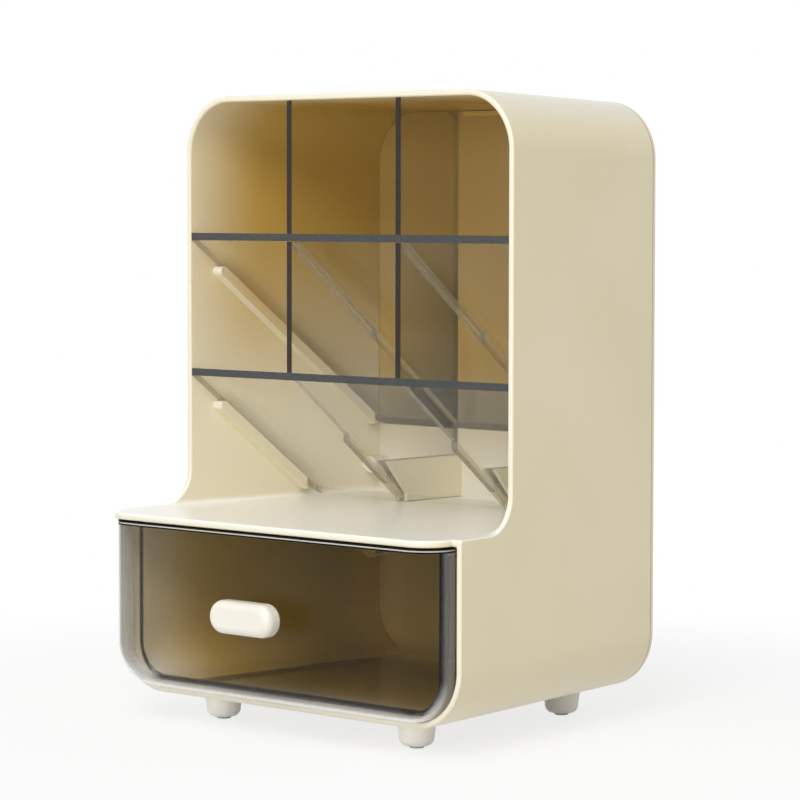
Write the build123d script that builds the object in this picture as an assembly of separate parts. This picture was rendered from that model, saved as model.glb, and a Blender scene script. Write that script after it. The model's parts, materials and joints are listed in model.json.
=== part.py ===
from build123d import *
import math
import os

# Driving sizes in millimetres
front_width = 188.0
depth = 142.5
side_taper = 0.12
shell_height = 246.0
top_fall = 2.2
step_depth = 35.0
deck_level = 74.4
deck_thick = 2.7
wall = 2.4
corner_radius = 24.0
deck_fillet = 15.0
lip_round = 1.4
deck_corner = 3.0
deck_skin = 0.05
nose_reach = 13.4
nose_inset = 4.4
nose_corner = 12.0
nose_round = 1.5
nose_seat = 6.0
rim_round = 0.8
back_thick = 2.8
back_round = 1.6

# Slanted plates and dividers
plate_thick = 2.4
plate_fall = 82.1
plate_recess = 0.4
upper_plate_level = 187.6
lower_plate_level = 130.5
plate_corner = 5.0
divider_thick = 2.8
divider_share = 0.343
tongue_edge = 5.8
tongue_round = 2.0
divider_corner = 6.0
rail_width = 5.0
rail_thick = 4.0
rail_setback = 12.0
rail_round = 1.8
rail_end_gap = 7.0
fin_thick = 2.0
fin_height = 18.0
fin_reach = 12.5
fin_grip = 6.0

# Feet
foot_height = 11.5
foot_top_radius = 9.6
foot_waist_radius = 7.4
foot_tip_radius = 6.6
foot_round = 3.2
foot_flare = 4.2
front_foot_edge = 38.0
rear_foot_edge = 35.0
foot_front = 20.6
foot_rear = 20.4
pad_thick = 0.8
pad_radius = 3.0

# Screws and their bosses
screw_radius = 1.25
screw_head_radius = 2.7
screw_head_height = 1.5
foot_screw_length = 9.0
back_screw_length = 10.0
boss_radius = 3.6
boss_length = 9.7
boss_sink = 0.4
lower_boss_level = 48.5
upper_boss_level = 12.0

# Drawer
drawer_gap = 2.8
drawer_floor_gap = 0.3
front_setback = 0.9
front_return = 0.5
drawer_top_gap = 0.5
front_thick = 2.6
tray_inset = 8.7
tray_wall = 2.2
tray_floor = 2.0
tray_lift = 2.5
tray_drop = 4.7
skid_width = 3.0
skid_inset = 30.0
skid_front = 0.4
skid_end_gap = 5.0
stop_width = 30.0
stop_thick = 2.0
stop_setback = 8.0
stop_drop = 2.5
stop_gap = 0.4

# Pull
pull_length = 34.0
pull_height = 13.4
pull_thick = 8.0
pull_projection = 13.0
pull_front_round = 3.4
pull_back_round = 2.0
pull_rise = 1.6
neck_width = 6.0
neck_height = 9.0
pull_screw_head = 3.0
pull_screw_head_height = 1.8
pull_screw_length = 11.0

# Clearances
slide_gap = 0.3
side_gap = 0.25
seat_gap = 0.15
lap_gap = 0.15
screw_gap = 0.06
locator_gap = 0.2
locator_width = 44.0
locator_reach = 4.5
locator_thick = 2.0
past = 5.0

# Derived levels
shell_bottom = foot_height
shell_top = shell_bottom + shell_height
deck_top = shell_bottom + deck_level
deck_under = deck_top - deck_thick
floor_top = shell_bottom + wall
inner_back = depth - back_thick
plate_front = step_depth + plate_recess
upper_end = inner_back - lap_gap - locator_gap
slope = plate_fall / (upper_end - plate_front)
plate_rise = plate_thick * math.hypot(1, slope)
upper_front_z = shell_bottom + upper_plate_level
lower_front_z = shell_bottom + lower_plate_level
lower_end = plate_front + (lower_front_z - plate_rise / 2 - deck_top - slide_gap) / slope
rail_drop = rail_thick * math.hypot(1, slope)
upper_rail_end = upper_end - rail_end_gap
lower_rail_end = lower_end - (rail_drop + deck_corner) / slope
upper_middle = (plate_front + upper_end) / 2
lower_middle = (plate_front + lower_end) / 2
tray_back = inner_back - boss_length - slide_gap
tray_bottom = floor_top + tray_lift
tray_top = deck_under - tray_drop
front_bottom = floor_top + drawer_floor_gap
front_top = deck_under - drawer_top_gap
pull_level = (front_bottom + front_top) / 2 + pull_rise
front_reach = nose_reach - front_setback
front_edge = front_reach - front_return
middle_y = (depth - front_reach - pull_projection) / 2
wide = front_width


def half_at(y):
    return front_width / 2 - side_taper * y


def divider_x():
    return divider_share * (half_at(step_depth) - wall)


def ceiling(y):
    return shell_top - top_fall * (y - step_depth) / (depth - step_depth)


def plate_top(front_z, y):
    return front_z + plate_rise / 2 - slope * (y - plate_front)


def plate_under(front_z, y):
    return plate_top(front_z, y) - plate_rise


# Basic shapes
def side_prism(points, half_x, rounds=()):
    """Extrude an outline given in depth and height to both sides."""
    face = make_face(Polyline(*points, close=True))
    for index, radius in rounds:
        spot = Vector(*points[index])
        corner = [v for v in face.vertices() if (Vector(v.X, v.Y) - spot).length < lap_gap / 10]
        face = fillet(corner, radius)
    return extrude(Plane.YZ * face, amount=half_x, both=True)


def tapered_block(inset, y0, y1, z0, top, low_round, high_round):
    """A block that follows the tapered sides, with its long edges rounded."""
    near = -nose_reach - 2 * past
    far = depth + 2 * past
    corners = [(inset - half_at(near), near), (half_at(near) - inset, near)]
    corners += [(half_at(far) - inset, far), (inset - half_at(far), far)]
    high = max(top(near), top(far))
    plan = make_face(Polyline(*corners, close=True))
    block = extrude(Pos(0, 0, z0) * plan, amount=high - z0)
    block &= side_prism([(near, z0), (near, top(near)), (far, top(far)), (far, z0)], wide)
    middle = (z0 + high) / 2
    for radius, is_low in ((low_round, True), (high_round, False)):
        if radius > 0:
            edges = [e for e in block.edges() if abs((e % 0.5).Y) > abs((e % 0.5).X) + abs((e % 0.5).Z)]
            edges = [e for e in edges if (e.center().Z < middle) == is_low]
            block = fillet(edges, radius)
    return block & side_prism([(y0, z0 - past), (y0, high + past), (y1, high + past), (y1, z0 - past)], wide)


def round_front(inset, front_y, corner, z0, z1):
    """An upright block that follows the tapered sides, with its two front corners rounded in plan."""
    far = depth + 2 * past
    corners = [(inset - half_at(front_y), front_y), (half_at(front_y) - inset, front_y)]
    corners += [(half_at(far) - inset, far), (inset - half_at(far), far)]
    plan = make_face(Polyline(*corners, close=True))
    plan = fillet([v for v in plan.vertices() if v.Y < step_depth], corner)
    return extrude(Pos(0, 0, z0) * plan, amount=z1 - z0)


def level(z):
    return lambda y: z


def under_ceiling(drop):
    return lambda y: ceiling(y) - drop


def rod(radius, length, x, y, z):
    """A round bar that runs back from the given point along the depth."""
    return Pos(x, y + length / 2, z) * Rot(90, 0, 0) * Cylinder(radius, length)


def countersunk(radius, head_radius, length):
    """A screw pointing down with its flat head at the origin."""
    head = Pos(0, 0, -screw_head_height / 2) * Cone(radius, head_radius, screw_head_height)
    return head + Pos(0, 0, -length / 2) * Cylinder(radius, length)


# Places of repeated pieces
def foot_spots():
    spots = []
    for y, edge in ((foot_front, front_foot_edge), (depth - foot_rear, rear_foot_edge)):
        for sign in (-1, 1):
            spots.append((sign * (half_at(y) - edge), y))
    return spots


def boss_spots():
    spots = []
    for z in (shell_bottom + lower_boss_level, deck_top + upper_boss_level):
        for sign in (-1, 1):
            spots.append((sign * (half_at(inner_back) - wall - boss_radius + boss_sink), z))
    return spots


def foot_screw_at(x, y, grow):
    screw = countersunk(screw_radius + grow, screw_head_radius + grow, foot_screw_length + grow)
    return Pos(x, y, floor_top - screw_gap + grow) * screw


def back_screw_at(x, z, grow):
    screw = countersunk(screw_radius + grow, screw_head_radius + grow, back_screw_length + grow)
    return Pos(x, depth - screw_gap + grow, z) * Rot(-90, 0, 0) * screw


# Shell
def upper_cavity(inset, drop, floor_z):
    return tapered_block(inset, -past, inner_back + past, floor_z, under_ceiling(drop),
                         deck_corner, corner_radius - drop)


def shell_bosses():
    bosses = []
    for x, z in boss_spots():
        start = inner_back - boss_length
        web = Box(2 * boss_radius, boss_length, boss_radius)
        shift = math.copysign(boss_radius, x)
        bosses.append(rod(boss_radius, boss_length, x, start, z))
        bosses.append(Pos(x + shift, start + boss_length / 2, z) * web)
    keep = tapered_block(wall / 2, 0, inner_back, shell_bottom, under_ceiling(wall / 2), 0, 0)
    return [boss & keep for boss in bosses]


def rim_edges(shell):
    """The edges around both front rims."""
    edges = []
    for edge in shell.edges():
        box = edge.bounding_box()
        for y in (0, step_depth):
            if abs(box.min.Y - y) < lap_gap / 10 and abs(box.max.Y - y) < lap_gap / 10:
                edges.append(edge)
    return edges


def make_deck_skin():
    """A hair-thin top on the deck, which the side curves then cross instead of grazing."""
    return tapered_block(wall / 2, 2 * lip_round, inner_back, deck_under + deck_skin,
                         level(deck_top + deck_skin), 0, 0)


def make_nose():
    """The front of the deck, which reaches out over the drawer with rounded corners."""
    low = deck_under + deck_skin
    high = deck_top + deck_skin
    nose = round_front(nose_inset, -nose_reach, nose_corner, low, high)
    nose &= tapered_block(0, -nose_reach - past, nose_seat, low, level(high), 0, 0)
    for z, radius in ((high, nose_round), (low, rim_round)):
        edges = [e for e in nose.edges() if abs(e.center().Z - z) < deck_skin]
        nose = fillet([e for e in edges if e.center().Y < nose_seat - deck_skin], radius)
    return nose


def make_shell():
    profile = [(0, shell_bottom), (0, deck_top), (step_depth, deck_top), (step_depth, shell_top + past),
               (inner_back, shell_top + past), (inner_back, shell_bottom)]
    outer = tapered_block(0, -past, depth + past, shell_bottom, under_ceiling(0),
                          corner_radius, corner_radius)
    shell = outer & side_prism(profile, wide, [(1, lip_round), (2, deck_fillet)])
    shell -= upper_cavity(wall, wall, deck_top)
    shell -= tapered_block(wall, -past, inner_back + past, floor_top, level(deck_under),
                           corner_radius - wall, rim_round)
    shell = fillet(rim_edges(shell), rim_round)
    shell += make_deck_skin()
    shell += make_nose()
    stop_y = stop_setback + stop_thick / 2
    shell += Pos(0, stop_y, deck_under - stop_drop / 2) * Box(stop_width, stop_thick, stop_drop)
    for boss in shell_bosses():
        shell += boss
    for x, y in foot_spots():
        shell -= foot_screw_at(x, y, screw_gap)
    for x, z in boss_spots():
        shell -= back_screw_at(x, z, screw_gap)
    return shell


# Back panel
def fin_pair(x):
    tip = lower_end - fin_reach
    low = deck_top + slide_gap
    top = deck_top + fin_height
    heel = lower_end + slide_gap
    knee = plate_top(lower_front_z, lower_end) + slide_gap
    outline = [(inner_back, low), (inner_back, top), (tip, top), (heel, knee), (heel, low)]
    gap = divider_thick / 2 + lap_gap
    fins = []
    for sign in (-1, 1):
        shift = x + sign * (gap + fin_thick / 2)
        fins.append(Pos(shift, 0, 0) * side_prism(outline, fin_thick / 2))
    return fins


def make_back_panel():
    slab = tapered_block(0, inner_back, depth, shell_bottom, under_ceiling(0), corner_radius, corner_radius)
    rear = [e for e in slab.edges() if abs(e.center().Y - depth) < lap_gap]
    panel = fillet(rear, back_round)
    bar = Box(locator_width, locator_reach, locator_thick)
    bar_y = inner_back - locator_reach / 2
    under = ceiling(inner_back) - wall
    panel += Pos(0, bar_y, under - locator_gap - locator_thick / 2) * bar
    panel += Pos(0, bar_y, floor_top + locator_gap + locator_thick / 2) * bar
    for x in (-divider_x(), divider_x()):
        for fin in fin_pair(x):
            panel += fin
    for x, z in boss_spots():
        panel -= back_screw_at(x, z, screw_gap)
    return panel


# Slanted plates, rails and dividers
def make_plate(front_z, end, middle, corner):
    outline = [(plate_front, plate_top(front_z, plate_front)), (end, plate_top(front_z, end)),
               (end, plate_under(front_z, end)), (plate_front, plate_under(front_z, plate_front))]
    inset = wall + side_gap
    corners = [(inset - half_at(plate_front), plate_front), (half_at(plate_front) - inset, plate_front)]
    corners += [(half_at(end) - inset, end), (inset - half_at(end), end)]
    plan = make_face(Polyline(*corners, close=True))
    plan = fillet([v for v in plan.vertices() if v.Y > middle], corner)
    plate = extrude(plan, amount=shell_top) & side_prism(outline, wide)
    slot = Box(divider_thick + 2 * lap_gap, depth, shell_height)
    for x in (-divider_x(), divider_x()):
        plate -= Pos(x, middle + depth / 2, shell_height / 2) * slot
    return plate


def make_rail(front_z, end, sign):
    start = step_depth + rail_setback
    points = []
    for y, fall in ((start, 0), (end, 0), (end, rail_drop), (start, rail_drop)):
        points.append((y, plate_under(front_z, y) - seat_gap - fall))
    bar = side_prism(points, wide, [(0, rail_round), (3, rail_round)])
    outer = tapered_block(wall, 0, inner_back, deck_top, under_ceiling(wall), 0, 0)
    inner = tapered_block(wall + rail_width, 0, inner_back, deck_top, under_ceiling(wall), 0, 0)
    side = Pos(sign * wide / 2, depth / 2, shell_height / 2) * Box(wide, 2 * depth, 2 * shell_height)
    return (bar & outer & side) - inner


def make_divider(x):
    low = lower_front_z
    notch = deck_top + fin_height - fin_grip
    tongue = plate_front + (low - plate_rise / 2 - notch + tongue_edge) / slope
    back = inner_back - lap_gap
    lap = lower_middle + lap_gap
    points = [(plate_front, ceiling(plate_front) - wall - seat_gap),
              (back, ceiling(back) - wall - seat_gap),
              (back, notch),
              (tongue, notch),
              (tongue, plate_under(low, tongue)),
              (lap, plate_under(low, lap)),
              (lap, plate_top(low, lap) + lap_gap),
              (plate_front, plate_top(low, plate_front) + lap_gap)]
    sheet = side_prism(points, divider_thick / 2, [(1, divider_corner), (4, tongue_round)])
    ends = (step_depth - past, upper_middle + lap_gap)
    slot = [(ends[0], plate_top(upper_front_z, ends[0]) + lap_gap),
            (ends[1], plate_top(upper_front_z, ends[1]) + lap_gap),
            (ends[1], plate_under(upper_front_z, ends[1]) - lap_gap),
            (ends[0], plate_under(upper_front_z, ends[0]) - lap_gap)]
    sheet -= side_prism(slot, divider_thick)
    return Pos(x, 0, 0) * sheet


# Feet
def make_foot(x, y):
    waist_z = foot_height - foot_flare
    outline = Polyline((0, pad_thick), (foot_tip_radius, pad_thick), (foot_waist_radius, waist_z))
    flare = Spline((foot_waist_radius, waist_z), (foot_top_radius, foot_height),
                   tangents=[(foot_waist_radius - foot_tip_radius, waist_z - pad_thick), (1, lap_gap)])
    close = Polyline((foot_top_radius, foot_height), (0, foot_height), (0, pad_thick))
    face = make_face(outline + flare + close)
    tip = [v for v in face.vertices() if abs(v.X - foot_tip_radius) + abs(v.Y - pad_thick) < lap_gap]
    solid = revolve(Plane.XZ * fillet(tip, foot_round), Axis.Z)
    return Pos(x, y, 0) * solid - foot_screw_at(x, y, screw_gap)


def make_pads():
    return [Pos(x, y, pad_thick / 2) * Cylinder(pad_radius, pad_thick) for x, y in foot_spots()]


# Drawer
def make_tray():
    skirt = corner_radius - tray_inset
    tray = tapered_block(tray_inset, front_thick, tray_back, tray_bottom, level(tray_top), skirt, 0)
    tray -= tapered_block(tray_inset + tray_wall, front_thick - past, tray_back - tray_wall,
                          tray_bottom + tray_floor, level(tray_top + past), skirt - tray_wall, 0)
    skid_height = tray_lift - slide_gap
    start = front_thick + skid_front
    end = tray_back - skid_end_gap
    for sign in (-1, 1):
        lines = []
        for y, side in ((start, -1), (end, -1), (end, 1), (start, 1)):
            lines.append((sign * (half_at(y) - skid_inset) + side * skid_width / 2, y))
        strip = make_face(Polyline(*lines, close=True))
        tray += extrude(Pos(0, 0, floor_top + slide_gap) * strip, amount=skid_height)
    tab_height = deck_under - stop_gap - tray_top
    tab = Box(stop_width, tray_wall, tab_height + tray_wall)
    tray += Pos(0, tray_back - tray_wall / 2, tray_top + (tab_height - tray_wall) / 2) * tab
    return tray


def front_form(half_x, front_y, end_y, z0, z1, low_round, edge_round):
    """A straight block whose front edge is rounded along both sides and the bottom."""
    block = Pos(0, (front_y + end_y) / 2, (z0 + z1) / 2) * Box(2 * half_x, end_y - front_y, z1 - z0)
    block = fillet(block.edges().filter_by(Axis.Y).group_by(Axis.Z)[0], low_round)
    edges = [e for e in block.edges() if e.bounding_box().max.Y < front_y + lap_gap]
    return fillet([e for e in edges if e.center().Z < z1 - lap_gap], edge_round)


def make_drawer_front():
    """A rounded clear front whose border runs back to a flange that holds the tray."""
    skirt = corner_radius - wall - drawer_gap
    front_half = half_at(0) - wall - drawer_gap
    window = tray_inset + tray_wall
    front = front_form(front_half, -front_reach, front_thick, front_bottom, front_top, skirt, front_edge)
    front -= front_form(front_half - front_thick, front_thick - front_reach, 0, front_bottom + front_thick,
                        front_top + past, skirt - front_thick, front_edge - front_thick)
    front -= tapered_block(window, -past, front_thick + past, tray_bottom + tray_floor,
                           level(front_top + past), corner_radius - window, 0)
    return front - rod(screw_radius + screw_gap, front_thick, 0, -front_reach, pull_level)


def make_pull():
    start = pull_projection - pull_thick
    bar = extrude(Plane.XZ.offset(start) * SlotOverall(pull_length, pull_height), amount=pull_thick)
    front = [e for e in bar.edges() if abs(e.center().Y + pull_projection) < lap_gap]
    bar = fillet(front, pull_front_round)
    rear = [e for e in bar.edges() if abs(e.center().Y + start) < lap_gap]
    bar = fillet(rear, pull_back_round)
    neck = extrude(Plane.XZ * SlotOverall(neck_height, neck_width), amount=start + pull_back_round)
    pull = bar + Rot(0, 90, 0) * neck
    hole = rod(screw_radius + screw_gap, pull_screw_length, 0, -pull_screw_length, 0)
    return Pos(0, -front_reach, pull_level) * (pull - hole)


def make_pull_screw():
    shank = pull_screw_length - screw_gap + front_thick
    seat = front_thick - front_reach
    head = rod(pull_screw_head, pull_screw_head_height, 0, seat, pull_level)
    return head + rod(screw_radius, shank, 0, seat - shank, pull_level)


# Write every piece in the shared frame
def save(name, pieces):
    moved = [Pos(0, -middle_y, 0) * piece for piece in pieces]
    shape = moved[0] if len(moved) == 1 else Compound(children=moved)
    export_step(shape, "parts/" + name + ".step")


os.makedirs("parts", exist_ok=True)
save("outer_shell", [make_shell()])
save("back_panel", [make_back_panel()])
save("back_panel_screws", [back_screw_at(x, z, 0) for x, z in boss_spots()])
save("upper_slant_plate", [make_plate(upper_front_z, upper_end, upper_middle, plate_corner)])
save("lower_slant_plate", [make_plate(lower_front_z, lower_end, lower_middle, plate_corner)])
save("left_divider", [make_divider(-divider_x())])
save("right_divider", [make_divider(divider_x())])
for sign, side_name in ((-1, "left"), (1, "right")):
    save(side_name + "_upper_rail", [make_rail(upper_front_z, upper_rail_end, sign)])
    save(side_name + "_lower_rail", [make_rail(lower_front_z, lower_rail_end, sign)])
foot_names = ("front_left_foot", "front_right_foot", "rear_left_foot", "rear_right_foot")
for foot_name, spot in zip(foot_names, foot_spots()):
    save(foot_name, [make_foot(*spot)])
save("foot_pads", make_pads())
save("foot_screws", [foot_screw_at(x, y, 0) for x, y in foot_spots()])
save("drawer_tray", [make_tray()])
save("drawer_front", [make_drawer_front()])
save("drawer_handle", [make_pull()])
save("handle_screw", [make_pull_screw()])
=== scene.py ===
# %% [markdown]
# A desk pen holder with a drawer.
# The real one is a cream moulded shell with a flat back, clear slanted shelves and clear upright dividers,
# and a clear drawer that slides out under an open deck. All of it was drawn in CAD first, so this lesson
# loads that model as a fixed frame, gives each piece the finish it has in the hand, turns the few small
# things that are easier to model than to draw, and lights it like a product picture.

# %% Load the frame
import bpy
import bmesh
import json
import math
from mathutils import Matrix, Vector

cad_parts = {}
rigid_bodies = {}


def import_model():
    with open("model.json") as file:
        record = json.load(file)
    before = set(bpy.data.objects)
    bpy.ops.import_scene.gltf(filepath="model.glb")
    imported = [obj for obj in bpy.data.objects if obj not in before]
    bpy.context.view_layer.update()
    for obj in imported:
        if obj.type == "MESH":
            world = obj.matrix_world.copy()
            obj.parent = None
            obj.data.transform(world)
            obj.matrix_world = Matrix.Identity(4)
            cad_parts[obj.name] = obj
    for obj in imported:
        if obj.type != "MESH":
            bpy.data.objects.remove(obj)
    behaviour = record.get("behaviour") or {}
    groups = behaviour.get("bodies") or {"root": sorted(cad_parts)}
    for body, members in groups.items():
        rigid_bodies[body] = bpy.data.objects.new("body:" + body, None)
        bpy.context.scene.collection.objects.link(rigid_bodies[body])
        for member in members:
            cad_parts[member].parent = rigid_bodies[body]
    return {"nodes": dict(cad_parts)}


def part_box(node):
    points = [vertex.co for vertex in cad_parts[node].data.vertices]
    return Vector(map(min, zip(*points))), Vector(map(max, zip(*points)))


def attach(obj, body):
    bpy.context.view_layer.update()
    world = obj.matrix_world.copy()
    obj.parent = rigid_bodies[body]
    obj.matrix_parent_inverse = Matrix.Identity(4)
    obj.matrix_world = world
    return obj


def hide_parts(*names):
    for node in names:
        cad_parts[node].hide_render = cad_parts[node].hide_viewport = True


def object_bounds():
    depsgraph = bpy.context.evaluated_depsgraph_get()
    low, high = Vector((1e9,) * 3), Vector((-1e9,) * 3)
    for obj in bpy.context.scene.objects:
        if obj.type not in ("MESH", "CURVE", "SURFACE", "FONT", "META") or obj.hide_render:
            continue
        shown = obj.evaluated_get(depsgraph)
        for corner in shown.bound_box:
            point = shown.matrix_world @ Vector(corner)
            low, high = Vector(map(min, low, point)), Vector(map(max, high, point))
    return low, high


for leftover in list(bpy.data.objects):
    bpy.data.objects.remove(leftover)
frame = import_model()
cad_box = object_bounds()
print("nodes:", len(frame["nodes"]), "box:", [round(v, 4) for v in cad_box[1] - cad_box[0]])

# %% [markdown]
# Shader nodes as sums.
# A finish is easier to read as a formula than as a list of links, so one small class stands for a node's
# output. Adding or multiplying two of them puts a Math node in the tree, and its node method makes any
# other node from its type, its settings and the values or links of its sockets.

# %% A wire that can be added and multiplied
class Wire:
    def __init__(self, tree, socket=None):
        self.tree = tree
        self.socket = socket

    def node(self, kind, settings=None, sockets=None, out=0):
        made = self.tree.nodes.new(kind)
        for name, value in (settings or {}).items():
            setattr(made, name, value)
        for name, value in (sockets or {}).items():
            if isinstance(value, Wire):
                self.tree.links.new(value.socket, made.inputs[name])
            else:
                made.inputs[name].default_value = value
        return Wire(self.tree, made.outputs[out] if len(made.outputs) else None)

    def math(self, operation, *values):
        return self.node("ShaderNodeMath", {"operation": operation}, dict(enumerate(values)))

    def __add__(self, other):
        return self.math("ADD", self, other)

    def __radd__(self, other):
        return self.math("ADD", other, self)

    def __sub__(self, other):
        return self.math("SUBTRACT", self, other)

    def __rsub__(self, other):
        return self.math("SUBTRACT", other, self)

    def __mul__(self, other):
        return self.math("MULTIPLY", self, other)

    def __rmul__(self, other):
        return self.math("MULTIPLY", other, self)

    def __pow__(self, other):
        return self.math("POWER", self, other)

    def __gt__(self, other):
        return self.math("GREATER_THAN", self, other)

    def __lt__(self, other):
        return self.math("LESS_THAN", self, other)

    def __abs__(self):
        return self.math("ABSOLUTE", self)

    def larger(self, other):
        return self.math("MAXIMUM", self, other)

    def root(self):
        return self.math("SQRT", self)

    def mix(self, first, second):
        """Goes from the first colour to the second as this wire goes from 0 to 1."""
        return self.node("ShaderNodeMix", {"data_type": "RGBA"}, {0: self, 6: first, 7: second}, 2)

    def noise(self, scale, detail=2.0):
        """A cloudy value around a half; the scale is in clouds per metre."""
        return self.node("ShaderNodeTexNoise", {}, {"Vector": self, "Scale": scale, "Detail": detail})

    def axes(self):
        """The three parts of a vector."""
        split = self.node("ShaderNodeSeparateXYZ", {}, {0: self})
        outputs = split.socket.node.outputs
        return [Wire(self.tree, outputs[k]) for k in range(3)]

    def ramp_up(self, low, high):
        """A smooth step from 0 at low to 1 at high."""
        return self.node("ShaderNodeMapRange", {"interpolation_type": "SMOOTHSTEP"},
                         {"Value": self, "From Min": low, "From Max": high})


print("shader formulas are ready")

# %% [markdown]
# Beginning and ending a finish.
# Every finish here starts as an empty node tree and ends in one Principled shader, and most go on pieces of
# the frame, which have one slot each. Three short helpers save those lines, and a fourth gives what nearly
# every finish reads: the place on the piece and the way its surface looks.

# %% Helpers for finishes
def start_finish(name):
    """A new material and a bare wire that adds nodes to it."""
    material = bpy.data.materials.new(name)
    material.use_nodes = True
    material.node_tree.nodes.clear()
    return material, Wire(material.node_tree)


def close_finish(pen, sockets):
    """Ends a material in one Principled shader."""
    shader = pen.node("ShaderNodeBsdfPrincipled", {}, sockets)
    pen.node("ShaderNodeOutputMaterial", {}, {"Surface": shader})


def dress(material, *names):
    """Gives a finish to the frame's own pieces."""
    for name in names:
        frame["nodes"][name].material_slots[0].material = material


def place_and_normal(pen):
    return (pen.node("ShaderNodeTexCoord", out="Object"),
            pen.node("ShaderNodeTexCoord", out="Normal"))


print("finishes can start")

# %% [markdown]
# Cream plastic.
# The shell, its back and the rails are moulded in one warm ivory plastic with a satin gloss. A flat colour
# would look like paper, so the colour drifts a little in slow clouds, the gloss drifts with it, and two fine
# noises lift the surface: a slow one for the gentle waves of a moulded wall and a quick one for its skin.
# Light that goes round inside the pockets comes back warmer each time, and thin walls let some of it through;
# that warm shade is painted into the colour, so the faces that look inward are painted from cream to honey as
# they go back, most in the upper row and in the drawer bay, and elsewhere a paler inner cream as painted
# light. The rims and the deck, which face the lamps, are painted paler as painted light, and a fine dark line
# marks the joint of shell and back.
# One material that asks for place and normal keeps all of this in step where the pieces meet.

# %% Cream colours
CREAM = (0.80, 0.715, 0.495, 1.0)
CREAM_DEEP = (0.775, 0.68, 0.45, 1.0)
# Painted light: a paler, less yellow cream on inward faces, to hold back the warmth of bounced light.
INNER_LIFTED_CREAM = (0.80, 0.74, 0.56, 1.0)
# Painted light: a paler, less yellow cream for faces that look forward or up, and a near-white one for the
# deck's top.
LIT_FACE_CREAM = (0.69, 0.665, 0.565, 1.0)
LIT_DECK_CREAM = (0.93, 0.91, 0.83, 1.0)
# The two honey colours are painted warm shade for the insides of the pockets and the drawer bay.
HONEY_SHADE = (0.53, 0.335, 0.075, 1.0)
DEEP_HONEY_SHADE = (0.40, 0.255, 0.065, 1.0)
JOINT = (0.30, 0.24, 0.13, 1.0)
shell_low, shell_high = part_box("outer_shell")
POCKET_MIDDLE = 0.17
POCKET_DEPTH = (-0.042, 0.018)
WALL_RISE = (0.11, 0.2)
BACK_RISE = (0.085, 0.15)
BAY_TOP = shell_low.z + 0.0735
BAY_DEPTH = (-0.075, -0.01)
ABOVE_DECK = 0.1
JOINT_HALF = 0.00022
print("the back starts at", round(shell_high.y, 4))


# %% Cream finish
def inward_faces(normal, x, y, z):
    """1 on faces that look toward the middle of the pockets, and on the inside of the back."""
    across, along, up = normal.axes()
    outward = across * x + up * (z - POCKET_MIDDLE)
    walls = outward.ramp_up(-0.004, -0.03)
    back = (y > 0.07) * along.ramp_up(-0.5, -0.9)
    return walls.larger(back)


def lit_faces(normal):
    """How far a face looks forward or up, toward the lamps, and how far it looks up alone; these faces get
    painted light.
    """
    along, up = normal.axes()[1:]
    forward = along.ramp_up(-0.4, -0.95)
    upward = up.ramp_up(0.3, 0.95)
    return forward.larger(upward), upward


def cream_plastic():
    material, pen = start_finish("cream_plastic")
    place, normal = place_and_normal(pen)
    x, y, z = place.axes()
    cloud = place.noise(11.0, 3.0)
    drift = cloud.ramp_up(0.3, 0.7).mix(CREAM, CREAM_DEEP)
    inside = inward_faces(normal, x, y, z)
    lit, upward = lit_faces(normal)
    # Painted light: forward and upward faces are painted a paler cream and the deck's top near-white.
    deck = upward * (z < ABOVE_DECK)
    # Painted light: inward faces are painted the paler inner cream.
    pale = (lit * 0.8).mix((inside * 0.7).mix(drift, INNER_LIFTED_CREAM), LIT_FACE_CREAM)
    rear = y > shell_high.y - 0.0004
    rise = rear * z.ramp_up(*BACK_RISE) + (1.0 - rear) * z.ramp_up(*WALL_RISE)
    pockets = rise * y.ramp_up(*POCKET_DEPTH)
    bay = (z < BAY_TOP) * y.ramp_up(*BAY_DEPTH)
    # Painted warm shade: inward faces deep in the pockets and the bay go honey, deepest on the back.
    painted_warm_shade = inside * pockets.larger(bay)
    colour = painted_warm_shade.mix(deck.mix(pale, LIT_DECK_CREAM), rear.mix(HONEY_SHADE, DEEP_HONEY_SHADE))
    joint = (abs(y - shell_high.y) < JOINT_HALF) * (1.0 - inside)
    height = place.noise(38.0, 1.0) * 0.00002 + place.noise(2400.0, 2.0) * 0.0000003
    bump = pen.node("ShaderNodeBump", {}, {"Strength": 0.5, "Distance": 1.0, "Height": height})
    close_finish(pen, {"Base Color": joint.mix(colour, JOINT),
                       "Roughness": cloud * 0.08 + 0.3,
                       "Normal": bump,
                       "Coat Weight": 0.25,
                       "Coat Roughness": 0.12})
    return material


dress(cream_plastic(), "outer_shell", "back_panel", "left_upper_rail", "right_upper_rail",
      "left_lower_rail", "right_lower_rail")
print("cream on the shell, the back and the rails")

# %% [markdown]
# Clear sheet.
# A clear shelf shows only what it mirrors, and its polished front edge gathers the dark of the room and looks
# black. Real glass shading would trap the light inside the pockets, so the faces are a thin mirror whose
# alpha grows toward a grazing look, and the edges get painted reflection: the front edges are painted a
# near-solid dark, the slanted edges behind them a tea-grey, the ends beside the walls an amber that stands
# for the cream walls seen in them, and the edges that touch the shell stay almost clear. Normal and place
# tell which is which; the shelves' slope is the one they were drawn with, a fall of 82.1 mm over a run of
# 103.95 mm.

# %% Clear sheet finish
# Painted reflection: these edge colours stand for what the sheets' polished edges mirror.
DARK_EDGE_REFLECTION = (0.046, 0.049, 0.05, 1.0)
DARKER_EDGE_REFLECTION = (0.016, 0.011, 0.01, 1.0)
TEA_EDGE_REFLECTION = (0.30, 0.275, 0.215, 1.0)
AMBER_WALL_REFLECTION = (0.62, 0.52, 0.32, 1.0)
SHEEN = (0.93, 0.95, 0.95, 1.0)
PLATE_FALL, PLATE_RUN = 82.1, 103.95


def at_a_glance(pen):
    """0 where a face is seen straight on, 1 where it is seen edge on."""
    return pen.node("ShaderNodeLayerWeight", {}, {"Blend": 0.5}, out="Facing")


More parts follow.
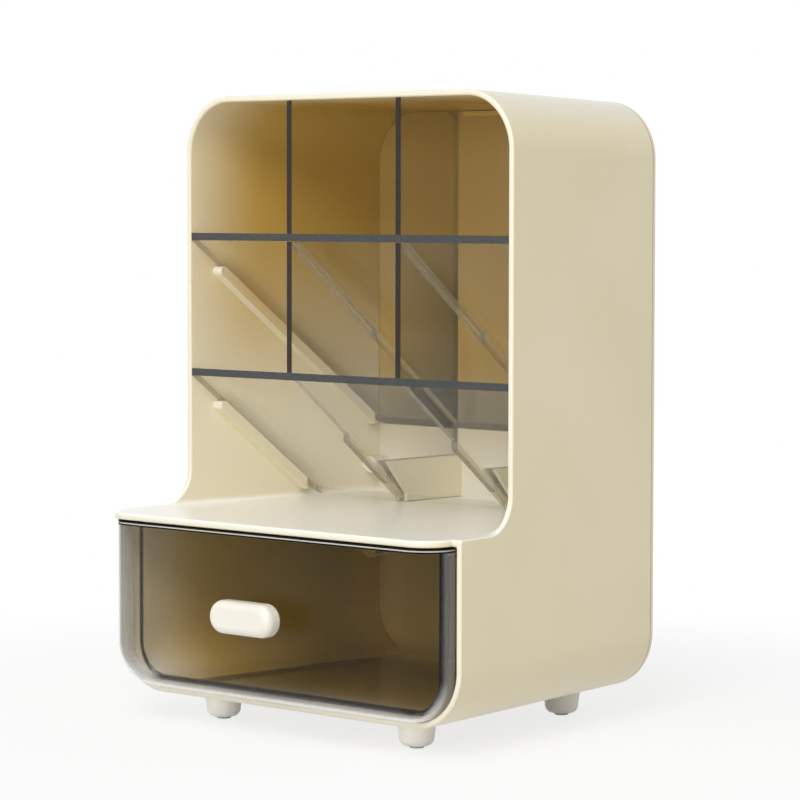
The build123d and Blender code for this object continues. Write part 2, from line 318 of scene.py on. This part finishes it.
def clear_sheet(node, face_normal, front_reflection_colour):
    low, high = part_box(node)
    material, pen = start_finish("clear_" + node)
    place, normal = place_and_normal(pen)
    y, z = place.axes()[1:]
    flat = abs(pen.node("ShaderNodeVectorMath", {"operation": "DOT_PRODUCT"},
                        {0: normal, 1: face_normal}, out="Value"))
    edge = flat < 0.8
    front = y < low.y + 0.0003
    top = z > high.z - 0.0028
    far = y > high.y - 0.0004
    seated = far.larger(top * (1.0 - front))
    side = abs(normal.axes()[0]) > 0.8
    # Painted reflection on the edges: dark at the front, tea-grey behind, amber at the ends beside the walls.
    painted_edge_reflection = front.mix(side.mix(TEA_EDGE_REFLECTION, AMBER_WALL_REFLECTION), front_reflection_colour)
    edge_alpha = front * 0.985 + (1.0 - front) * (0.62 - seated * 0.5)
    face_alpha = at_a_glance(pen) ** 5.0 * 0.7 + place.noise(60.0, 3.0) * 0.01 + 0.006
    saw = place.noise(900.0, 1.0)
    close_finish(pen, {"Base Color": edge.mix(SHEEN, painted_edge_reflection),
                       "Metallic": 1.0 - edge,
                       "Roughness": 0.05 + edge * (saw * 0.2 + 0.1),
                       "Specular IOR Level": 0.3,
                       "Alpha": edge * edge_alpha + (1.0 - edge) * face_alpha})
    dress(material, node)


slant = math.atan2(PLATE_FALL, PLATE_RUN)
for node in ("upper_slant_plate", "lower_slant_plate"):
    clear_sheet(node, (0.0, math.sin(slant), math.cos(slant)), DARK_EDGE_REFLECTION)
for node in ("left_divider", "right_divider"):
    clear_sheet(node, (1.0, 0.0, 0.0), DARKER_EDGE_REFLECTION)
print("clear sheet on two shelves and two dividers")

# %% [markdown]
# Clear drawer.
# The drawer is the same clear plastic, moulded as a tray that is stuck to the flange of a curved front. From
# the front the tray's walls are edge on and read as a dark ring, and that ring is painted on as a near-black
# that fades out at the left. Light runs along inside the front's bent border, so it looks silvery where it is
# seen at a glance; that is painted as a silver-to-pewter reflection. Its cut top is painted with a fine pale
# highlight line between two dark lines of painted shade. The ring and the border follow outlines with rounded
# lower corners. Painting them by hand would take an image, so both are worked out here as a distance from
# such an outline.

# %% Drawer outlines
front_low, front_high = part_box("drawer_front")
tray_low, tray_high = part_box("drawer_tray")
TRAY_HALF = tray_high.x + 0.0003
TRAY_FLOOR = tray_low.z + 0.0022
TRAY_CORNER = 0.0153
TRAY_WALL = 0.0022
TRAY_BOTTOM = 0.0020
FLANGE = 0.0030
FRONT_BEND = 0.012
FRONT_CORNER = 0.0188
RING_FADE = (-0.081, -0.069)
LEFT_BAND = (-0.070, -0.078)
LOW_BAND = (0.0185, 0.0155)
TOP_LINES = (0.0007, 0.0012, 0.0018)


def trough(x, z, half, floor, corner):
    """How far a point lies outside a trough with rounded lower corners; inside, it is below zero."""
    right = (abs(x) - (half - corner)).larger(0.0)
    under = ((floor + corner) - z).larger(0.0)
    return (right * right + under * under).root() - corner


def outer_skin(rim, y):
    """1 on the outside of the front and 0 on its inside; the bend between face and side is round."""
    wide = (rim + FRONT_BEND).larger(0.0)
    deep = (front_low.y + FRONT_BEND - y).larger(0.0)
    return (wide * wide + deep * deep).root() > FRONT_BEND - 0.0012


def painted_dark_ring(x, y, z):
    """1 on the flange where the tray's wall ends, fading out at the left; it is painted dark there as painted
    shade.
    """
    outer = trough(x, z, TRAY_HALF, TRAY_FLOOR, TRAY_CORNER) < 0.0
    inner = trough(x, z, TRAY_HALF - TRAY_WALL, TRAY_FLOOR + TRAY_BOTTOM, TRAY_CORNER - TRAY_WALL) > 0.0
    return (y > front_high.y - FLANGE) * outer * inner * x.ramp_up(*RING_FADE)


print("drawer front", [round(v, 4) for v in front_high - front_low])

# %% Drawer finish
# Painted reflection and shade: silver and pewter for the bent border, near-black for the tray ring and the
# cut top's dark lines, a pale line for its painted highlight.
SILVER_REFLECTION = (0.97, 0.98, 0.99, 1.0)
PEWTER_REFLECTION = (0.84, 0.85, 0.87, 1.0)
PAINTED_DARK = (0.012, 0.011, 0.01, 1.0)
PALE_HIGHLIGHT_LINE = (0.66, 0.65, 0.60, 1.0)


def clear_front():
    material, pen = start_finish("clear_drawer_front")
    place, normal = place_and_normal(pen)
    x, y, z = place.axes()
    glance = at_a_glance(pen)
    haze = place.noise(45.0, 3.0)
    streak = pen.node("ShaderNodeVectorMath", {"operation": "MULTIPLY"},
                      {0: place, 1: (1.0, 1.0, 0.12)}).noise(260.0, 2.0)
    # Painted shade and highlight on the cut top: two dark lines of painted shade with a pale painted
    # highlight between them.
    first_shade_line = z > front_high.z - TOP_LINES[0]
    pale_highlight_line = (z > front_high.z - TOP_LINES[1]) * (1.0 - first_shade_line)
    second_shade_line = (z < front_high.z - TOP_LINES[1]) * (z > front_high.z - TOP_LINES[2])
    painted_dark = painted_dark_ring(x, y, z).larger(first_shade_line.larger(second_shade_line))
    rim = trough(x, z, front_high.x, front_low.z, FRONT_CORNER)
    edge = rim.ramp_up(-0.0016, -0.0004) * 0.55
    border = x.ramp_up(*LEFT_BAND).larger(edge.larger(z.ramp_up(*LOW_BAND)))
    # Painted reflection: the bent border is painted silver low and pewter high, more solid where it is seen
    # at a glance.
    bend = border * outer_skin(rim, y) * (1.0 - abs(normal.axes()[1])).ramp_up(0.03, 0.2)
    bend_reflection_tint = (z + streak * 0.03).ramp_up(0.055, 0.095).mix(SILVER_REFLECTION, PEWTER_REFLECTION)
    bend_alpha = glance.ramp_up(0.1, 0.46) * (streak * 0.25 + 0.75)
    clear_alpha = glance ** 5.0 * 0.8 + haze * 0.006 + 0.003
    alpha = bend * bend_alpha + (1.0 - bend) * clear_alpha
    plain = pale_highlight_line.mix(bend.mix(SHEEN, bend_reflection_tint), PALE_HIGHLIGHT_LINE)
    plain_alpha = pale_highlight_line * 0.7 + (1.0 - pale_highlight_line) * alpha
    close_finish(pen, {"Base Color": painted_dark.mix(plain, PAINTED_DARK),
                       "Metallic": 1.0 - painted_dark.larger(pale_highlight_line).larger(bend * 0.75),
                       "Roughness": 0.05 + haze * 0.06,
                       "Specular IOR Level": 0.0,
                       "Alpha": painted_dark * 0.95 + (1.0 - painted_dark) * plain_alpha})
    return material


def clear_tray():
    material, pen = start_finish("clear_drawer_tray")
    place, normal = place_and_normal(pen)
    x, y, z = place.axes()
    haze = place.noise(45.0, 3.0)
    # Painted dark: the tray's front end, fading to the left, and its top end, for the dark ring the edge-on
    # walls make.
    front_end = (y < tray_low.y + 0.0003) * x.ramp_up(*RING_FADE)
    top_end = (z > tray_high.z - 0.0046) * (normal.axes()[2] > 0.7)
    painted_dark = front_end.larger(top_end)
    alpha = at_a_glance(pen) ** 5.0 * 0.8 + haze * 0.006 + 0.003
    close_finish(pen, {"Base Color": painted_dark.mix(SHEEN, PAINTED_DARK),
                       "Metallic": 1.0 - painted_dark,
                       "Roughness": 0.05 + haze * 0.06,
                       "Specular IOR Level": 0.0,
                       "Alpha": painted_dark * 0.86 + (1.0 - painted_dark) * alpha})
    return material


dress(clear_front(), "drawer_front")
dress(clear_tray(), "drawer_tray")
print("clear drawer front and tray")

# %% [markdown]
# Ivory pull and feet.
# The pull and the feet are small solid mouldings in ivory, and they share one recipe of their own with a
# finer grain; the pull is polished and the feet are left satin. Their colours are lit and shaded copies of
# one ivory: the feet stand in the shade under the body, so they are painted a near-white ivory as painted
# light, and the pull stands in the full light, so it is painted a duller ivory to hold back its highlight.

# %% Ivory finish
def ivory_plastic(name, light, deep, rough, coat):
    material, pen = start_finish(name)
    place = pen.node("ShaderNodeTexCoord", out="Object")
    cloud = place.noise(60.0, 3.0)
    skin = place.noise(3000.0, 2.0)
    bump = pen.node("ShaderNodeBump", {}, {"Strength": 0.4, "Distance": 1.0, "Height": skin * 0.000003})
    close_finish(pen, {"Base Color": cloud.ramp_up(0.3, 0.7).mix(light, deep),
                       "Roughness": cloud * 0.1 + rough,
                       "Normal": bump,
                       "Coat Weight": coat,
                       "Coat Roughness": 0.08})
    return material


# Painted light: the feet's ivory is made lighter for the shade under the body, the pull's duller for the
# bright light on it.
PULL_IVORY_DIMMED = ((0.73, 0.705, 0.63, 1.0), (0.71, 0.68, 0.60, 1.0))
FOOT_IVORY_LIFTED = ((0.95, 0.94, 0.90, 1.0), (0.93, 0.915, 0.865, 1.0))
feet = ["front_left_foot", "front_right_foot", "rear_left_foot", "rear_right_foot"]
dress(ivory_plastic("ivory_pull", *PULL_IVORY_DIMMED, rough=0.26, coat=0.3), "drawer_handle")
dress(ivory_plastic("ivory_feet", *FOOT_IVORY_LIFTED, rough=0.36, coat=0.15), *feet)
print("ivory pull and feet")

# %% [markdown]
# Soft pads and bright screws.
# Under each foot sits a grey rubber disc, and zinc screws hold the back, the feet and the pull. The pads get
# a dusty rubber with a coarse skin. The screws get a bright metal with a fine turned grain, because a plain
# grey would look painted.

# %% Rubber and zinc
RUBBER = (0.42, 0.41, 0.38, 1.0)
DUST = (0.5, 0.49, 0.46, 1.0)
ZINC = (0.62, 0.62, 0.63, 1.0)
DULL_ZINC = (0.5, 0.5, 0.49, 1.0)


def soft_rubber():
    material, pen = start_finish("soft_rubber")
    place = pen.node("ShaderNodeTexCoord", out="Object")
    dust = place.noise(180.0, 4.0)
    skin = place.noise(1800.0, 3.0)
    bump = pen.node("ShaderNodeBump", {}, {"Strength": 0.6, "Distance": 1.0, "Height": skin * 0.00001})
    close_finish(pen, {"Base Color": dust.ramp_up(0.35, 0.7).mix(RUBBER, DUST),
                       "Roughness": dust * 0.15 + 0.68,
                       "Normal": bump})
    return material


def bright_zinc():
    material, pen = start_finish("bright_zinc")
    place = pen.node("ShaderNodeTexCoord", out="Object")
    stain = place.noise(700.0, 3.0)
    turned = place.noise(5200.0, 1.0)
    bump = pen.node("ShaderNodeBump", {}, {"Strength": 0.3, "Distance": 1.0, "Height": turned * 0.000004})
    close_finish(pen, {"Base Color": stain.ramp_up(0.3, 0.75).mix(ZINC, DULL_ZINC),
                       "Metallic": 1.0,
                       "Roughness": stain * 0.2 + 0.2,
                       "Normal": bump})
    return material


zinc = bright_zinc()
rubber = soft_rubber()
print("rubber and zinc")

# %% [markdown]
# Screws and pads with their real faces.
# A screw is known by its cross recess and a pad by its dished face, and both are easier to turn here than in
# CAD. Each starts as a flat disc: the screw's has a small grid in it whose cross is pushed down, the pad's is
# sunk a little. The rim of the disc is then drawn along the steps of a turned profile and closed at the end.

# %% Turning helpers
def turn_down(shape, rim, steps):
    """Draws a round rim along a list of radius and height steps, then closes the end."""
    radius, height = steps[0]
    for next_radius, next_height in steps[1:]:
        drawn = bmesh.ops.extrude_edge_only(shape, edges=rim)["geom"]
        verts = [part for part in drawn if isinstance(part, bmesh.types.BMVert)]
        rim = [part for part in drawn if isinstance(part, bmesh.types.BMEdge)]
        ratio = next_radius / radius
        bmesh.ops.scale(shape, vec=(ratio, ratio, 1.0), verts=verts)
        bmesh.ops.translate(shape, vec=(0.0, 0.0, next_height - height), verts=verts)
        radius, height = next_radius, next_height
    bmesh.ops.contextual_create(shape, geom=rim)
    bmesh.ops.recalc_face_normals(shape, faces=shape.faces)


def cross_screw(steps, depth):
    """A screw that points down from a head with a cross recess at the origin."""
    shape = bmesh.new()
    bmesh.ops.create_grid(shape, x_segments=3, y_segments=3, size=steps[0][0] * 0.52)
    square = [edge for edge in shape.edges if edge.is_boundary]
    cross = [face for face in shape.faces
             if min(abs(face.calc_center_median().x), abs(face.calc_center_median().y)) < 0.00001]
    made = bmesh.ops.create_circle(shape, segments=24, radius=steps[0][0])
    rim = list({edge for vert in made["verts"] for edge in vert.link_edges})
    bmesh.ops.bridge_loops(shape, edges=square + rim)
    sunk = bmesh.ops.extrude_face_region(shape, geom=cross)["geom"]
    floor = [part for part in sunk if isinstance(part, bmesh.types.BMVert)]
    bmesh.ops.translate(shape, vec=(0.0, 0.0, -depth), verts=floor)
    bmesh.ops.scale(shape, vec=(0.7, 0.7, 1.0), verts=floor)
    turn_down(shape, [edge for edge in rim if edge.is_valid], steps)
    return shape


def dished_pad(radius, thick):
    """A soft disc that hangs down from the origin, with rounded edges and a sunk lower face."""
    shape = bmesh.new()
    made = bmesh.ops.create_circle(shape, cap_ends=True, segments=32, radius=radius * 0.94)
    rim = list({edge for vert in made["verts"] for edge in vert.link_edges})
    steps = [(0.94, 0.0), (1.0, -0.15), (1.0, -0.7), (0.93, -1.0), (0.72, -1.0), (0.6, -0.8), (0.1, -0.8)]
    turn_down(shape, rim, [(radius * wide, thick * deep) for wide, deep in steps])
    return shape


def gather(name, shape, places, node, body, material):
    """Puts copies of one shape at several places as one piece, in the stead of a frame node."""
    single = bpy.data.meshes.new(name + "_one")
    shape.to_mesh(single)
    shape.free()
    whole = bmesh.new()
    for place in places:
        first = len(whole.verts)
        whole.from_mesh(single)
        whole.verts.ensure_lookup_table()
        bmesh.ops.transform(whole, matrix=place, verts=whole.verts[first:])
    mesh = bpy.data.meshes.new(name)
    whole.to_mesh(mesh)
    whole.free()
    bpy.data.meshes.remove(single)
    mesh.materials.append(material)
    piece = bpy.data.objects.new(name, mesh)
    bpy.context.scene.collection.objects.link(piece)
    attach(piece, body)
    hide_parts(node)
    print(name, len(mesh.polygons), "faces")


print("turning helpers are ready")

# %% [markdown]
# Placing the turned pieces.
# The frame's own screws and pads tell where these go: their boxes give the heads' height, and the feet give
# the middles. Each piece then stands in for the plain ones of the frame.

# %% Screws and pads
HEAD = 0.0027
CORE = 0.00125
TIP = 0.0006
SINK = [(0.0026, 0.0), (HEAD, -0.0001), (CORE, -0.0015)]
PAN = [(0.0022, 0.0), (0.0028, -0.0003), (0.003, -0.0008), (0.003, -0.0018), (CORE, -0.0018)]
RECESS = 0.0011
PAD_RADIUS = 0.003
to_back = Matrix.Rotation(-math.pi / 2.0, 4, "X")

low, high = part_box("back_panel_screws")
back_places = [Matrix.Translation((x, high.y, z)) @ to_back
               for x in (low.x + HEAD, high.x - HEAD) for z in (low.z + HEAD, high.z - HEAD)]
gather("back_screws_crossed", cross_screw(SINK + [(CORE, -0.0092), (TIP, -0.01)], RECESS), back_places,
       "back_panel_screws", "holder", zinc)

spots = [(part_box(foot)[0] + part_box(foot)[1]) / 2.0 for foot in feet]
low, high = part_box("foot_screws")
foot_places = [Matrix.Translation((spot.x, spot.y, high.z)) for spot in spots]
gather("foot_screws_crossed", cross_screw(SINK + [(CORE, -0.0082), (TIP, -0.009)], RECESS), foot_places,
       "foot_screws", "holder", zinc)

low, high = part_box("handle_screw")
long = high.y - low.y
gather("pull_screw_crossed", cross_screw(PAN + [(CORE, 0.0008 - long), (TIP, -long)], 0.0009),
       [Matrix.Translation((0.0, high.y, (low.z + high.z) / 2.0)) @ to_back],
       "handle_screw", "drawer", zinc)

low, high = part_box("foot_pads")
pad_places = [Matrix.Translation((spot.x, spot.y, high.z)) for spot in spots]
gather("foot_pads_dished", dished_pad(PAD_RADIUS, high.z - low.z), pad_places,
       "foot_pads", "holder", rubber)

# %% [markdown]
# Floor and world.
# The picture is a cut-out on white. A pale floor keeps a soft shadow, and it and the world are white to the
# camera and to mirrors but dimmer to everything else. More light would whiten them too, but it would bleach
# the plastic, so the kind of ray decides.

# %% Floor and world
def seen_rays(pen):
    """1 for rays from the camera, off a mirror or through glass."""
    camera, glossy, through = [pen.node("ShaderNodeLightPath", out=kind)
                               for kind in ("Is Camera Ray", "Is Glossy Ray", "Is Transmission Ray")]
    return camera.larger(glossy.larger(through))


def make_floor():
    mesh = bpy.data.meshes.new("floor")
    shape = bmesh.new()
    bmesh.ops.create_grid(shape, x_segments=1, y_segments=1, size=4.0)
    bmesh.ops.translate(shape, verts=shape.verts, vec=(0.0, 0.0, cad_box[0].z - 0.0004))
    shape.to_mesh(mesh)
    shape.free()
    floor = bpy.data.objects.new("floor", mesh)
    bpy.context.scene.collection.objects.link(floor)
    material, pen = start_finish("pale_floor")
    matt = pen.node("ShaderNodeBsdfDiffuse", {}, {"Color": (0.86, 0.86, 0.85, 1.0)})
    white = pen.node("ShaderNodeEmission", {}, {"Color": (1.0, 1.0, 1.0, 1.0), "Strength": 1.0})
    x, y = pen.node("ShaderNodeTexCoord", out="Object").axes()[:2]
    far = (x * x + y * y).ramp_up(0.015, 0.16)
    shader = pen.node("ShaderNodeMixShader", {}, {0: seen_rays(pen) * (far * 0.22 + 0.78), 1: matt, 2: white})
    pen.node("ShaderNodeOutputMaterial", {}, {"Surface": shader})
    mesh.materials.append(material)


def make_world(ambient):
    world = bpy.data.worlds.new("studio")
    world.use_nodes = True
    world.node_tree.nodes.clear()
    pen = Wire(world.node_tree)
    strength = ambient + seen_rays(pen) * (1.0 - ambient)
    light = pen.node("ShaderNodeBackground", {}, {"Color": (1.0, 1.0, 1.0, 1.0), "Strength": strength})
    pen.node("ShaderNodeOutputWorld", {}, {"Surface": light})
    bpy.context.scene.world = world


make_floor()
make_world(0.44)
print("floor and world")

# %% [markdown]
# Lamps.
# Broad soft light from the front and above shapes the form: a key from the right, a low fill that reaches
# under the deck, and a top light for the deck and the roof. Square area lamps do for all three.

# %% Lamps
def soft_box(name, place, aim, size, power):
    data = bpy.data.lights.new(name, "AREA")
    data.shape = "SQUARE"
    data.size = size
    data.energy = power
    lamp = bpy.data.objects.new(name, data)
    bpy.context.scene.collection.objects.link(lamp)
    direction = Vector(aim) - Vector(place)
    lamp.matrix_world = Matrix.Translation(place) @ direction.to_track_quat("-Z", "Y").to_matrix().to_4x4()


soft_box("key", (0.75, -1.42, 1.3), (0.0, 0.0, 0.12), 0.9, 21.0)
soft_box("fill", (0.4, -1.7, 0.25), (0.0, 0.0, 0.06), 0.7, 8.0)
soft_box("top", (0.1, -0.6, 1.65), (0.0, -0.02, 0.1), 0.9, 5.5)
print("three soft boxes")

# %% [markdown]
# Camera.
# The camera's place, its turn and its lens were worked out from the edges of the photographed object, so
# they are written as they came: where it stands, and which way its right, its up and its view point.

# %% Camera
RIGHT = Vector((0.7440728, 0.6680970, 0.0014337))
UP = Vector((-0.0420032, 0.0446378, 0.9981198))
FORWARD = Vector((-0.6667769, 0.7427340, -0.0612760))
EYE = Vector((0.8721345, -0.9599016, 0.2122391))
lens = bpy.data.cameras.new("camera")
lens.sensor_fit = "HORIZONTAL"
lens.sensor_width = 36.0
lens.lens = 142.552
camera = bpy.data.objects.new("camera", lens)
bpy.context.scene.collection.objects.link(camera)
camera.matrix_world = Matrix.Translation(EYE) @ Matrix((RIGHT, UP, -FORWARD)).transposed().to_4x4()
bpy.context.scene.camera = camera
bpy.context.scene.view_settings.view_transform = "Standard"
print("camera at", [round(v, 3) for v in EYE])
